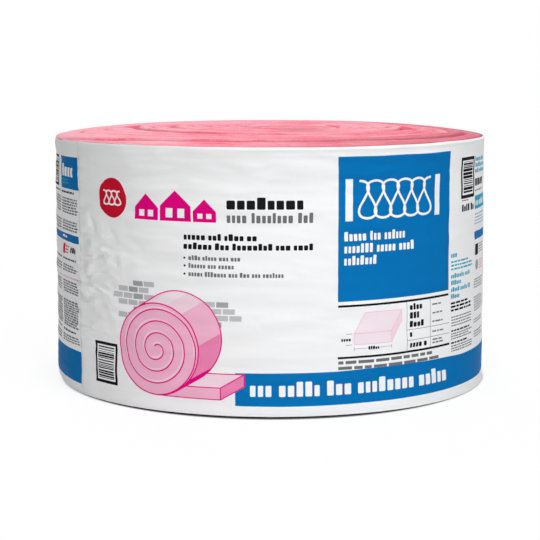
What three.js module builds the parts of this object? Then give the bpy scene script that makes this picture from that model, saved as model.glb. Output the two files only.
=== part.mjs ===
// A roll of glass-wool insulation, standing on its end.
//
// One blanket of glass wool, about 11.9 m long, is wound up under pressure, and a polyethylene sleeve
// holds it. The sleeve goes round the side only, so the turns of the blanket show on both ends. The
// turns are tightest at the heart, and the winding started off the middle, so its eye sits to one side
// of the roll's axis.
//
// Millimetres, +Z up along the roll's axis, origin on the axis at the lower end.

import * as THREE from 'three';

// The blanket, wound up
const WOOL_RADIUS = 332.4;
const BLANKET_WIDTH = 381;
const TURNS = 12;
const INNERMOST_TURN = 16;
const EYE_RADIUS = 22;
const EYE_SHIFT = new THREE.Vector2(48, -4);
const TAIL_ANGLE = THREE.MathUtils.degToRad(185);

// Just past the tail the outer turn is at its thickest and pushes the grooves inside it inwards
const BULGE = 34;
const BULGE_AFTER_TURN = 0.26;
const BULGE_KEPT_PER_TURN = 0.7;

// The ends, where the squeezed wool swells out of the sleeve in one soft crown a turn
const CROWN_HEIGHT = 6.5;
const FULL_CROWN_WIDTH = 18.5;
const CROWN_SECTION = [
  { across: 0.2, share: 0.8 },
  { across: 0.5, share: 1 },
  { across: 0.8, share: 0.8 },
];
const DOME_RISE = 6;
const DOME_POWER = 2.5;
const EYE_DIP = 4;
const EYE_DIP_REACH = 60;
const RIM_SHOULDER = 0.5;
const BASE_GROOVE = 5;
const BASE_SHOULDER = 1.5;
const EYE_RINGS = [
  { radius: 17, depth: 10 },
  { radius: 9, depth: 19 },
];
const EYE_DEPTH = 23;

// The sleeve
const FILM_GAP = 0.4;
const FILM_THICKNESS = 0.8;
const SLEEVE_FOOT = 2;
const LAP_EDGE_ANGLE = THREE.MathUtils.degToRad(-146);
const LAP_WIDTH = 55;
const LAP_RAMP = 12;

// Facets
const STEPS_PER_TURN = 48;
const SLEEVE_STEPS = 96;

const FULL_TURN = 2 * Math.PI;
const TURN_GROWTH = (2 * (WOOL_RADIUS - EYE_RADIUS - INNERMOST_TURN * TURNS)) / TURNS ** 2;
const EYE_STEP = TURNS * STEPS_PER_TURN;

// The winding. A step counts along the groove between two turns, from the blanket's tail on the
// outside, at step 0, round and round to the eye. Before the tail the line is the roll's rim, and
// past the last step it is the rim of the eye, so every turn lies between the line at one step and
// the line a full turn later.

function lineRadius(step) {
  const turn = THREE.MathUtils.clamp(step / STEPS_PER_TURN, 0, TURNS);
  const turnsFromEye = TURNS - turn;
  const even = EYE_RADIUS + INNERMOST_TURN * turnsFromEye + 0.5 * TURN_GROWTH * turnsFromEye ** 2;
  const pastTail = (turn % 1) / BULGE_AFTER_TURN;
  const pushedIn = BULGE * BULGE_KEPT_PER_TURN ** Math.floor(turn);
  return even - pushedIn * (pastTail * Math.exp(1 - pastTail)) ** 3;
}

/** A point of one end: each circle of the winding lies further off the axis the smaller it is. */
function endPoint(step, radius, height) {
  const angle = TAIL_ANGLE + (FULL_TURN * step) / STEPS_PER_TURN;
  const offAxis = 1 - radius / WOOL_RADIUS;
  return new THREE.Vector3(
    EYE_SHIFT.x * offAxis + radius * Math.cos(angle),
    EYE_SHIFT.y * offAxis + radius * Math.sin(angle),
    height,
  );
}

/** The upper end: free crowns on a gentle dome that dips round the eye. */
const upperEnd = {
  outwards: 1,
  rim: BLANKET_WIDTH + RIM_SHOULDER,
  crown(radius) {
    const dome = DOME_RISE * (1 - (radius / WOOL_RADIUS) ** DOME_POWER);
    return BLANKET_WIDTH + dome - EYE_DIP * Math.exp(-((radius / EYE_DIP_REACH) ** 2));
  },
  groove: (radius) => upperEnd.crown(radius) - CROWN_HEIGHT,
  settle: (height) => height,
};

/** The lower end: the same crowns, pressed flat by the roll's own weight. */
const lowerEnd = {
  outwards: -1,
  rim: BASE_SHOULDER,
  crown: () => BASE_GROOVE - CROWN_HEIGHT,
  groove: () => BASE_GROOVE,
  settle: (height) => Math.max(0, height),
};

/** Collects shared vertices and triangles for one closed body. */
class Skin {
  positions = [];
  indices = [];

  vertex(point) {
    this.positions.push(point.x, point.y, point.z);
    return this.positions.length / 3 - 1;
  }

  triangle(a, b, c, outwards) {
    if (a === b || b === c || c === a) return;
    this.indices.push(...(outwards > 0 ? [a, b, c] : [a, c, b]));
  }

  /** Fills between two rows of vertices with the same count. */
  strip(row, nextRow, outwards) {
    for (let i = 0; i + 1 < row.length; i++) {
      this.triangle(row[i], nextRow[i], nextRow[i + 1], outwards);
      this.triangle(row[i], nextRow[i + 1], row[i + 1], outwards);
    }
  }

  geometry() {
    const geometry = new THREE.BufferGeometry();
    geometry.setAttribute('position', new THREE.Float32BufferAttribute(this.positions, 3));
    geometry.setIndex(this.indices);
    geometry.computeVertexNormals();
    return geometry;
  }
}

/** A ring of vertices, closed by its first one. */
function ring(skin, radius, height) {
  const row = [];
  for (let step = 0; step < STEPS_PER_TURN; step++) {
    row.push(skin.vertex(endPoint(step, radius, height)));
  }
  return [...row, row[0]];
}

/** The eye of the winding: a pit, from its rim down to a point. */
function addEye(skin, rimRow, end) {
  const mouth = end.groove(EYE_RADIUS);
  let outerRow = rimRow;
  for (const { radius, depth } of EYE_RINGS) {
    const innerRow = ring(skin, radius, mouth - end.outwards * depth);
    skin.strip(innerRow, outerRow, end.outwards);
    outerRow = innerRow;
  }
  const heart = skin.vertex(endPoint(0, 0, mouth - end.outwards * EYE_DEPTH));
  for (let i = 0; i < STEPS_PER_TURN; i++) {
    skin.triangle(outerRow[i], outerRow[i + 1], heart, end.outwards);
  }
}

/** One end of the roll: the blanket's edge, lofted turn by turn. Returns the rim's row. */
function addEnd(skin, end) {
  const rimRow = ring(skin, WOOL_RADIUS, end.rim);
  const eyeRow = ring(skin, EYE_RADIUS, end.groove(EYE_RADIUS));
  const grooveRow = [rimRow[0]];
  for (let step = 1; step < EYE_STEP; step++) {
    const radius = lineRadius(step);
    grooveRow.push(skin.vertex(endPoint(step, radius, end.groove(radius))));
  }

  const lineVertex = (step) => {
    if (step < 0) return rimRow[step + STEPS_PER_TURN];
    return step < EYE_STEP ? grooveRow[step] : eyeRow[(step - EYE_STEP) % STEPS_PER_TURN];
  };
  const lineHeight = (step) => (step <= 0 ? end.rim : end.groove(lineRadius(step)));

  /** The row of vertices across one turn, or one vertex repeated where a turn begins or ends. */
  const sectionRow = (step) => {
    const outer = lineVertex(step);
    const inner = lineVertex(step + STEPS_PER_TURN);
    if (outer === inner) return [outer, ...CROWN_SECTION.map(() => outer), inner];
    const outerRadius = lineRadius(step);
    const innerRadius = lineRadius(step + STEPS_PER_TURN);
    const fullness = Math.min(1, (outerRadius - innerRadius) / FULL_CROWN_WIDTH);
    const middle = CROWN_SECTION.map(({ across, share }) => {
      const radius = THREE.MathUtils.lerp(outerRadius, innerRadius, across);
      const chord = THREE.MathUtils.lerp(lineHeight(step), lineHeight(step + STEPS_PER_TURN), across);
      const height = THREE.MathUtils.lerp(chord, end.crown(radius), share * fullness);
      return skin.vertex(endPoint(step, radius, end.settle(height)));
    });
    return [outer, ...middle, inner];
  };

  let row = sectionRow(-STEPS_PER_TURN);
  for (let step = 1 - STEPS_PER_TURN; step <= EYE_STEP; step++) {
    const nextRow = sectionRow(step);
    skin.strip(row, nextRow, end.outwards);
    row = nextRow;
  }
  addEye(skin, eyeRow, end);
  return rimRow;
}

/** The blanket, wound into one solid drum with its turns on both ends. */
function woundBlanket() {
  const skin = new Skin();
  const upperRim = addEnd(skin, upperEnd);
  const lowerRim = addEnd(skin, lowerEnd);
  skin.strip(upperRim, lowerRim, 1);
  return skin.geometry();
}

/** The sleeve: a ring of film whose outer end laps over its start, a step thicker there. */
function sleeve() {
  const innerRadius = WOOL_RADIUS + FILM_GAP;
  const outerRadius = innerRadius + FILM_THICKNESS;
  const lapAngle = LAP_WIDTH / outerRadius;
  const rampAngle = LAP_RAMP / outerRadius;
  const outlinePoint = (turned, layers) => {
    const angle = LAP_EDGE_ANGLE - turned;
    const radius = innerRadius + layers * FILM_THICKNESS;
    return new THREE.Vector2(radius * Math.cos(angle), radius * Math.sin(angle));
  };

  const lapSteps = 3;
  const outline = [];
  for (let i = 0; i <= lapSteps; i++) {
    outline.push(outlinePoint((lapAngle * i) / lapSteps, 2));
  }
  const plainStart = lapAngle + rampAngle;
  for (let i = 0; i <= SLEEVE_STEPS; i++) {
    outline.push(outlinePoint(THREE.MathUtils.lerp(plainStart, FULL_TURN, i / SLEEVE_STEPS), 1));
  }

  const shape = new THREE.Shape(outline);
  const inside = new THREE.Path();
  inside.absarc(0, 0, innerRadius, 0, FULL_TURN);
  shape.holes.push(inside);
  return new THREE.ExtrudeGeometry(shape, {
    depth: BLANKET_WIDTH - SLEEVE_FOOT,
    bevelEnabled: false,
    curveSegments: SLEEVE_STEPS,
  }).translate(0, 0, SLEEVE_FOOT);
}

function part(name, geometry, color, roughness) {
  const material = new THREE.MeshStandardMaterial({ color, roughness, metalness: 0 });
  const mesh = new THREE.Mesh(geometry, material);
  mesh.name = name;
  return mesh;
}

const insulationRoll = new THREE.Group();
insulationRoll.add(
  part('wool_roll', woundBlanket(), 0xf8a8b4, 0.95),
  part('film_sleeve', sleeve(), 0xe6e8e9, 0.4),
);

export default insulationRoll;
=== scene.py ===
"""The looks of a roll of glass-wool insulation, standing on its end.

The wool shows on both ends as one long blanket, wound turn over turn. A sleeve of printed
polyethylene film holds it, with its end lapped over its start. Metres, +Z up along the roll's axis.
"""

import math
import random

import bmesh
import bpy
import numpy as np
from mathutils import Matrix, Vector, noise
from mathutils.geometry import delaunay_2d_cdt


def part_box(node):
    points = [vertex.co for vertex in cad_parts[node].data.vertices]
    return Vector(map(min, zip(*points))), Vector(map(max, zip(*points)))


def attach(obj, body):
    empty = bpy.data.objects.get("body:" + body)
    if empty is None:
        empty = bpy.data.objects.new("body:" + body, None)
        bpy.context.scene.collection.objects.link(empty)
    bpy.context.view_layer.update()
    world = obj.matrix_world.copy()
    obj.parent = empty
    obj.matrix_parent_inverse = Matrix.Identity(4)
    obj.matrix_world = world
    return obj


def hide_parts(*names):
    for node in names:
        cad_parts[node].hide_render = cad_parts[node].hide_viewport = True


bl_info = {
    "name": "Insulation Roll",
    "version": (1, 0, 0),
    "blender": (4, 5, 0),
    "location": "View3D > Sidebar > Roll",
    "description": "Builds a wound glass-wool roll in its printed film sleeve",
    "category": "Add Mesh",
}

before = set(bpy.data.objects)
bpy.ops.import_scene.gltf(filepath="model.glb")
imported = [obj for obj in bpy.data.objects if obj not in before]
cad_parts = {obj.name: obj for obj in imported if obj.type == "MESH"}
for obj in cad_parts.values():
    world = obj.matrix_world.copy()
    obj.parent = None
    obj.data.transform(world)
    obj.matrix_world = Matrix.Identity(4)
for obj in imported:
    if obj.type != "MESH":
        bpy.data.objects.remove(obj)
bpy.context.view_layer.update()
FILM_LOW, FILM_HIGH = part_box("film_sleeve")
MM = 0.001
FULL_TURN = 2 * math.pi
BLANKET_WIDTH = 0.381


# ---- settings


def length_setting(name, description, default):
    return bpy.props.FloatProperty(name=name, description=description, default=default, unit="LENGTH")


def angle_setting(name, description, degrees):
    default = math.radians(degrees)
    return bpy.props.FloatProperty(name=name, description=description, default=default, subtype="ANGLE")


def power_setting(name, description, default):
    return bpy.props.FloatProperty(name=name, description=description, default=default, unit="POWER")


def colour_setting(name, description, default):
    return bpy.props.FloatVectorProperty(
        name=name, description=description, default=default, size=3, min=0, max=1, subtype="COLOR"
    )


class WoolSettings(bpy.types.PropertyGroup):
    radius: length_setting("Radius", "Radius of the wound blanket", 0.3324)
    width: length_setting(
        "Blanket width",
        "Width of the blanket, which is the height of the sleeve's upper edge",
        BLANKET_WIDTH,
    )
    turns: bpy.props.IntProperty(
        name="Turns", description="Whole turns from the tail to the eye", default=12
    )
    innermost_turn: length_setting(
        "Innermost turn",
        "Thickness of the turn next to the eye; the turns grow evenly from there",
        0.016,
    )
    eye_radius: length_setting("Eye radius", "Radius of the pit at the heart of the winding", 0.022)
    eye_shift: bpy.props.FloatVectorProperty(
        name="Eye shift",
        description="How far the eye lies off the roll's axis",
        default=(0.048, -0.004),
        size=2,
        unit="LENGTH",
    )
    tail_angle: angle_setting("Tail angle", "Where the blanket's tail ends on the outside", 185)
    bulge: length_setting(
        "Bulge", "How far the outer turn, thickest just past the tail, pushes the grooves in", 0.034
    )
    dome: length_setting("Dome", "How far the middle of the upper end stands above its rim", 0.006)
    groove: length_setting("Groove", "Depth of an ordinary groove between two turns", 0.0034)
    fleece: colour_setting("Wool", "Colour of the cut edge of the blanket", (0.915, 0.287, 0.355))
    # The pale strands colour also paints light on lit crowns and at the back left. The groove colour is
    # painted shade and bounced pink down between two turns, and also tints the wool's own darker
    # strands. The shaded wool colour is painted shade.
    pale: colour_setting("Pale strands", "Colour of the palest strands", (0.955, 0.44, 0.51))
    deep: colour_setting("Grooves", "Colour on the way down between two turns", (0.88, 0.105, 0.19))
    deepest: colour_setting(
        "Shaded wool", "Colour of the dullest wool, in the shade of its neighbours", (0.46, 0.09, 0.13)
    )


class FilmSettings(bpy.types.PropertyGroup):
    radius: length_setting("Radius", "Outer radius of a single layer of the sleeve", 0.3336)
    thickness: length_setting("Thickness", "Thickness that the film is drawn with", 0.0003)
    lap: length_setting("Lap", "How far the film's end lies over its start", 0.055)
    lap_edge: length_setting(
        "Lap edge", "Where the free edge of the lap is, along the sleeve from its front", -0.330
    )
    mesh_size: length_setting(
        "Mesh size", "Spacing of the film's vertices where it is most creased", 0.003
    )
    slack: bpy.props.FloatProperty(
        name="Slack",
        description="How strongly the film dents and wrinkles, where 1 is as packed",
        default=1.0,
        min=0.0,
        max=3.0,
    )
    base: colour_setting("Film", "Colour of the bare film", (0.86, 0.865, 0.87))


INK_COLOURS = {
    "blue": ("Blue ink", (0.003, 0.16, 0.44)),
    "black": ("Black ink", (0.012, 0.011, 0.013)),
    "grey": ("Grey ink", (0.16, 0.16, 0.17)),
    "pale_grey": ("Pale grey ink", (0.50, 0.51, 0.52)),
    "mid_grey": ("Middle grey ink", (0.34, 0.35, 0.36)),
    "cyan": ("Cyan ink", (0.02, 0.36, 0.52)),
    "magenta": ("Magenta ink", (0.72, 0.002, 0.20)),
    "crimson": ("Crimson ink", (0.56, 0.008, 0.03)),
    "rose": ("Rose ink", (0.80, 0.22, 0.43)),
    "blush": ("Blush ink", (0.86, 0.44, 0.60)),
    "shell": ("Shell ink", (0.86, 0.64, 0.72)),
    "blossom": ("Blossom ink", (0.85, 0.73, 0.79)),
}


class PrintSettings(bpy.types.PropertyGroup):
    __annotations__ = {
        ink: colour_setting(label, f"Colour of the {label.lower()} on the film", colour)
        for ink, (label, colour) in INK_COLOURS.items()
    }


class StageSettings(bpy.types.PropertyGroup):
    distance: length_setting("Camera distance", "From the roll's axis to the camera", 2.6675)
    eye_level: length_setting("Eye level", "Height of the camera above the floor", 0.5478)
    pitch: angle_setting("Pitch", "How far the camera looks down", 8.23)
    lens: bpy.props.FloatProperty(
        name="Focal length", description="Focal length of the camera in mm", default=113.64
    )
    key_power: power_setting("High light", "Power of the soft lamp high up in front", 63.0)
    fill_power: power_setting("Low light", "Power of the soft lamp low down in front", 25.0)
    back_power: power_setting("Back light", "Power of the soft lamp high up behind the roll", 32.0)
    ambient: bpy.props.FloatProperty(
        name="Ambient", description="Light that comes from all round", default=0.19
    )


# ---- helpers


def noise_at(points, spacing, seed):
    """Smooth noise, from about -1 to 1, whose bumps are about that far apart."""
    shift = Vector((seed * 7.31, seed * 3.77, seed * 5.13))
    scale = 1.0 / np.asarray(spacing, float)
    return np.array([noise.noise(Vector(p) + shift) for p in points * scale])


def noises(points, *layers):
    """The sum of several noises, each with its height, its spacing and its seed."""
    return sum(height * noise_at(points, spacing, seed) for height, spacing, seed in layers)


def smooth_step(value, start, end):
    t = np.clip((value - start) / (end - start), 0, 1)
    return t * t * (3 - 2 * t)


def fading(distance, reach, power):
    """1 at no distance, falling to 0 where the reach ends; a higher power falls faster."""
    return np.clip(1 - distance / reach, 0, 1) ** power


def bell(*shares):
    """1 in the middle, falling to 0 all round; each share is a distance over its reach."""
    return np.exp(-sum(share**2 for share in shares))


def new_object(name, vertices, faces):
    mesh = bpy.data.meshes.new(name)
    mesh.from_pydata(vertices, [], faces)
    piece = bpy.data.objects.new(name, mesh)
    bpy.context.scene.collection.objects.link(piece)
    return piece


class Nodes:
    """A node tree, with short ways to add nodes and link them."""

    def __init__(self, tree):
        self.tree = tree

    def add(self, kind, inputs=None, **settings):
        made = self.tree.nodes.new(kind)
        for name, value in settings.items():
            setattr(made, name, value)
        for name, value in (inputs or {}).items():
            self.plug(value, made.inputs[name])
        return made

    def plug(self, value, socket):
        if isinstance(value, bpy.types.NodeSocket):
            self.tree.links.new(value, socket)
        else:
            socket.default_value = value

    def noise(self, vector, **inputs):
        return self.add("ShaderNodeTexNoise", {"Vector": vector} | inputs).outputs["Fac"]

    def vector_math(self, operation, *values):
        return self.add("ShaderNodeVectorMath", dict(enumerate(values)), operation=operation)

    def stretch(self, vector, scale):
        """The same coordinates, with each axis multiplied by its own scale."""
        return self.vector_math("MULTIPLY", vector, scale).outputs["Vector"]

    def math(self, operation, first, second):
        return self.add("ShaderNodeMath", {0: first, 1: second}, operation=operation).outputs[0]

    def weighted(self, *parts):
        """The sum of some values, each multiplied by its own weight."""
        terms = [self.math("MULTIPLY", value, weight) for value, weight in parts]
        total = terms[0]
        for term in terms[1:]:
            total = self.math("ADD", total, term)
        return total

    def remap(self, value, low, high, to_low=0.0, to_high=1.0):
        inputs = {"Value": value, "From Min": low, "From Max": high, "To Min": to_low, "To Max": to_high}
        return self.add("ShaderNodeMapRange", inputs).outputs["Result"]

    def mix(self, share, first, second):
        inputs = {"Factor": share, 6: first, 7: second}
        return self.add("ShaderNodeMix", inputs, data_type="RGBA").outputs[2]


class Material(Nodes):
    """A node material round one Principled shader."""

    def __init__(self, name):
        self.material = bpy.data.materials.new(name)
        self.material.use_nodes = True
        super().__init__(self.material.node_tree)
        self.shader = self.tree.nodes["Principled BSDF"]

    def bump(self, height, distance, strength):
        inputs = {"Height": height, "Distance": distance, "Strength": strength}
        return self.add("ShaderNodeBump", inputs).outputs["Normal"]

    def set(self, **inputs):
        for name, value in inputs.items():
            self.plug(value, self.shader.inputs[name.replace("_", " ")])


# ---- the wound blanket

STEPS_PER_TURN = 288
# Where the rows of points lie across a turn, from its outer groove (0) to its inner one (1)
UPPER_SECTION = (
    *(0, 0.03, 0.065, 0.11, 0.17, 0.24, 0.32, 0.41, 0.5),
    *(0.59, 0.68, 0.76, 0.83, 0.89, 0.935, 0.97, 1),
)
LOWER_SECTION = (0, 0.08, 0.25, 0.5, 0.75, 0.92, 1)
# Where the rings of points lie down the side, from the upper rim (0) to the lower one (1)
WALL_LEVELS = (0.004, 0.01, 0.018, 0.028, 0.04, 0.07, 0.25, 0.5, 0.75, 0.93, 0.965, 0.982, 0.992)

# Just past the tail the outer turn pushes the grooves inside it inwards, less at each turn.
BULGE_AFTER_TURN, BULGE_KEPT_PER_TURN = 0.26, 0.7
# One groove runs in a smaller circle than its neighbours for a stretch, in turns from the tail.
INWARD_TURN, INWARD_REACH, INWARD = 3.0, 0.13, 10 * MM
# How far the grooves waver, over what distance, and the noise's seed
WAVERS = ((4.5 * MM, 0.13, 1), (1.6 * MM, 0.035, 2))

# The upper end: its dome, its lumps, and how far across a turn the sides of its grooves reach
FULL_CROWN_WIDTH = 18.5 * MM
DOME_POWER = 2.5
FRONT_RISE = 5.2 * MM
RIM_SHOULDER, LUMPY_FROM_RIM = 0.5 * MM, 14 * MM
LUMPS = ((0.9 * MM, 0.09, 4), (0.6 * MM, 0.022, 5))
USUAL_REACH, STEEP_REACH, RIM_REACH = 11 * MM, 6 * MM, 16 * MM
PROUD_OUTER_REACH, PROUD_INNER_REACH = 5 * MM, 14 * MM
USUAL_SHARE, WIDEST_SHARE, LEAST_REACH = 0.42, 0.9, 1e-6
GROOVE_ROUNDNESS = 2.4

# The eye: the dip round it, and its rings, as a share of its radius and a depth in mm
EYE_DIP, EYE_DIP_REACH = 5.5 * MM, 60 * MM
EYE_RINGS = ((0.86, 5), (0.68, 11), (0.5, 16), (0.34, 19), (0.18, 21))
EYE_DEPTH = 22 * MM

# The lower end, and the side with its two rims
BASE_GROOVE, BASE_SHOULDER = 6 * MM, 1.5 * MM
SIDE_SLACK = 2.8 * MM
SIDE_GRAIN = 0.14
WELD_DISTANCE, SHORTEST_EDGE = 0.01 * MM, 0.001 * MM
RIM_WIDTH = 30 * MM
FOOT_TUCK, FOOT_TUCK_REACH = 15 * MM, 16 * MM
WOOL_CURL_REACH = 14 * MM
FLARE, FLARE_REACH = 6.5 * MM, 115 * MM
LIP_FLARE, LIP_FLARE_REACH = 5 * MM, 55 * MM

# Painted shade: an ordinary groove's pinkness and shade, the reach of the shade in the eye, and the
# place and reach of the painted shaded patch before the eye
GROOVE_PINK, GROOVE_SHADE = 0.42, 0.14
EYE_SHADE_REACH = 38 * MM
SHADE_SPOT_RIGHT, SHADE_SPOT_FRONT, SHADE_SPOT_WIDE, SHADE_SPOT_LONG = 44 * MM, 118 * MM, 44 * MM, 52 * MM

# Grooves that stand out, counted in turns from the tail: where each starts and ends, how softly it
# does so, how much deeper it is, how much further its outer side slopes, and how much pinker and
# how much darker it is painted, which is painted shade.
STRONG_GROOVES = (
    (0.05, 0.40, 0.14, 3.2 * MM, 3 * MM, -0.12, 0.1),
    (0.26, 0.36, 0.14, 0.6 * MM, 1 * MM, 0.0, 0.42),
    (2.90, 3.22, 0.06, 2.4 * MM, 3 * MM, 0.1, 0.0),
    (3.22, 3.50, 0.08, 0.8 * MM, 1 * MM, 0.0, 0.1),
    (2.99, 3.20, 0.04, 0.0, 0.0, 0.0, 0.4),
    (2.925, 2.955, 0.05, 0.8 * MM, 18 * MM, 0.9, 0.0),
    (4.455, 4.54, 0.03, 2.4 * MM, 26 * MM, 1.1, 0.0),
    (4.58, 4.70, 0.03, 1.8 * MM, 12 * MM, 0.5, 0.3),
    (4.78, 5.03, 0.05, 2.0 * MM, 1 * MM, 0.0, 0.75),
    (5.36, 5.56, 0.06, 2.4 * MM, 2 * MM, 0.35, 0.55),
    (6.68, 6.93, 0.05, 1.8 * MM, 3 * MM, 0.6, 0.0),
    (8.96, 9.16, 0.06, 3.4 * MM, 1 * MM, 0.1, 0.8),
    (9.53, 9.60, 0.04, 2.0 * MM, 10 * MM, 0.9, 0.0),
)
# Stretches of a turn that stand proud of their neighbours: from, to, softness and height.
PROUD_TURNS = (
    (0.02, 0.44, 0.16, 1.0 * MM),
    (2.90, 3.30, 0.10, 1.3 * MM),
    (4.36, 4.61, 0.08, 2.3 * MM),
    (4.80, 5.02, 0.08, 0.7 * MM),
    (5.38, 5.56, 0.08, 0.9 * MM),
    (8.52, 8.62, 0.05, 1.0 * MM),
    (8.90, 9.20, 0.08, 1.2 * MM),
)


class Winding:
    """The spiral line between the turns, counted in steps from the tail in to the eye."""

    def __init__(self, wool):
        self.wool = wool
        self.last = wool.turns * STEPS_PER_TURN
        grown = wool.radius - wool.eye_radius - wool.innermost_turn * wool.turns
        growth = 2 * grown / wool.turns**2
        steps = np.arange(-STEPS_PER_TURN, self.last + STEPS_PER_TURN + 1)
        left = np.clip(wool.turns - steps / STEPS_PER_TURN, 0, wool.turns)
        self.line = wool.eye_radius + wool.innermost_turn * left + 0.5 * growth * left**2
        turn = wool.turns - left
        past_tail = (turn % 1) / BULGE_AFTER_TURN
        pushed_in = wool.bulge * BULGE_KEPT_PER_TURN ** np.floor(turn)
        self.line -= pushed_in * (past_tail * np.exp(1 - past_tail)) ** 3
        self.line -= INWARD * bell((turn - INWARD_TURN) / INWARD_REACH)
        # the line runs calmly next to the eye and at the tail, and wavers between them
        free = smooth_step(left, 0, 1.5) * smooth_step(turn, 0, 0.6)
        self.line += free * noises(self.places(steps, self.line), *WAVERS)
        outside = np.roll(self.line, STEPS_PER_TURN) - self.line
        outside[: STEPS_PER_TURN + 1] = 0
        inside = self.line - np.roll(self.line, -STEPS_PER_TURN)
        inside[-STEPS_PER_TURN:] = 0
        self.fullness = np.clip(np.minimum(outside, inside) / FULL_CROWN_WIDTH, 0, 1)

    def places(self, steps, radii):
        """Where points of the winding lie, seen along the roll's axis."""
        angle = self.wool.tail_angle + FULL_TURN * steps / STEPS_PER_TURN
        off_axis = 1 - radii / self.wool.radius
        right, back = self.wool.eye_shift
        x = right * off_axis + radii * np.cos(angle)
        y = back * off_axis + radii * np.sin(angle)
        return np.stack([x, y, np.zeros_like(radii)], axis=-1)

    def sections(self, across):
        """Every row of points across a turn: its steps, radii, place across and turn's width."""
        steps = np.arange(-STEPS_PER_TURN, self.last + 1)[:, None]
        outer = self.line[steps + STEPS_PER_TURN]
        inner = self.line[steps + 2 * STEPS_PER_TURN]
        radii = outer + (inner - outer) * np.asarray(across)
        return np.broadcast_arrays(steps, radii, across, outer - inner)


def run_along(radii):
    """How far along the blanket each row of points is."""
    run = np.concatenate([[0], np.cumsum(radii.mean(axis=1)[1:])]) * FULL_TURN / STEPS_PER_TURN
    return np.broadcast_to(run[:, None], radii.shape)


def dome(wool, radii):
    """How high the turns' crowns stand above the rim: a gentle dome that dips round the eye."""
    rise = wool.dome * (1 - (radii / wool.radius) ** DOME_POWER)
    return rise - EYE_DIP * bell(radii / EYE_DIP_REACH)


def rim_drop(angle):
    """How far the upper rim hangs below its highest place, which is at the front."""
    side = np.abs(np.cos(angle)) ** 4
    tilt = 4.5 * np.sin(angle) * np.clip(np.cos(angle), 0, 1)
    return (1.0 + 0.4 * np.sin(angle) + side * (3.8 - 0.5 * np.cos(angle) + tilt)) * MM


def wool_curl(angle, below):
    """How far the wool's upper rim rounds inwards, most on the right; below is the depth."""
    amount = (0.7 + 2.9 * np.clip(np.cos(angle), 0, 1) ** 4) * MM
    return amount * fading(below, WOOL_CURL_REACH, 2)


def flare(angle, below):
    """How far the wool pushes the film out near the upper rim, most at the front."""
    front = np.clip(-np.sin(angle), 0, 1)
    broad = FLARE * front**3.2 * fading(below, FLARE_REACH, 1.6)
    return broad + LIP_FLARE * front**1.4 * fading(below, LIP_FLARE_REACH, 1.5)


def stretch_share(turn, start, end, soft):
    """1 between two places along the winding, easing to 0 beyond them."""
    return smooth_step(turn, start - soft, start) * smooth_step(-turn, -end - soft, -end)


def groove_form(winding, steps):
    """Depth, slope, pinkness and shade of the groove at each step along the winding."""
    turn = steps / STEPS_PER_TURN
    ordinary = (winding.wool.groove, 0.0, GROOVE_PINK, GROOVE_SHADE)
    form = [np.full(turn.shape, value) for value in ordinary]
    for start, end, soft, *extras in STRONG_GROOVES:
        share = stretch_share(turn, start, end, soft)
        form = [value + share * extra for value, extra in zip(form, extras)]
    depth, slope, pink, shade = form
    fullness = winding.fullness[steps + STEPS_PER_TURN]
    return depth * fullness, slope, pink * fullness, shade * fullness


def groove_side(distance, reach):
    """How far the wool has risen out of a groove, from 0 to 1, at a distance from it."""
    return 1 - (1 - np.clip(distance / reach, 0, 1)) ** GROOVE_ROUNDNESS


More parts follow.
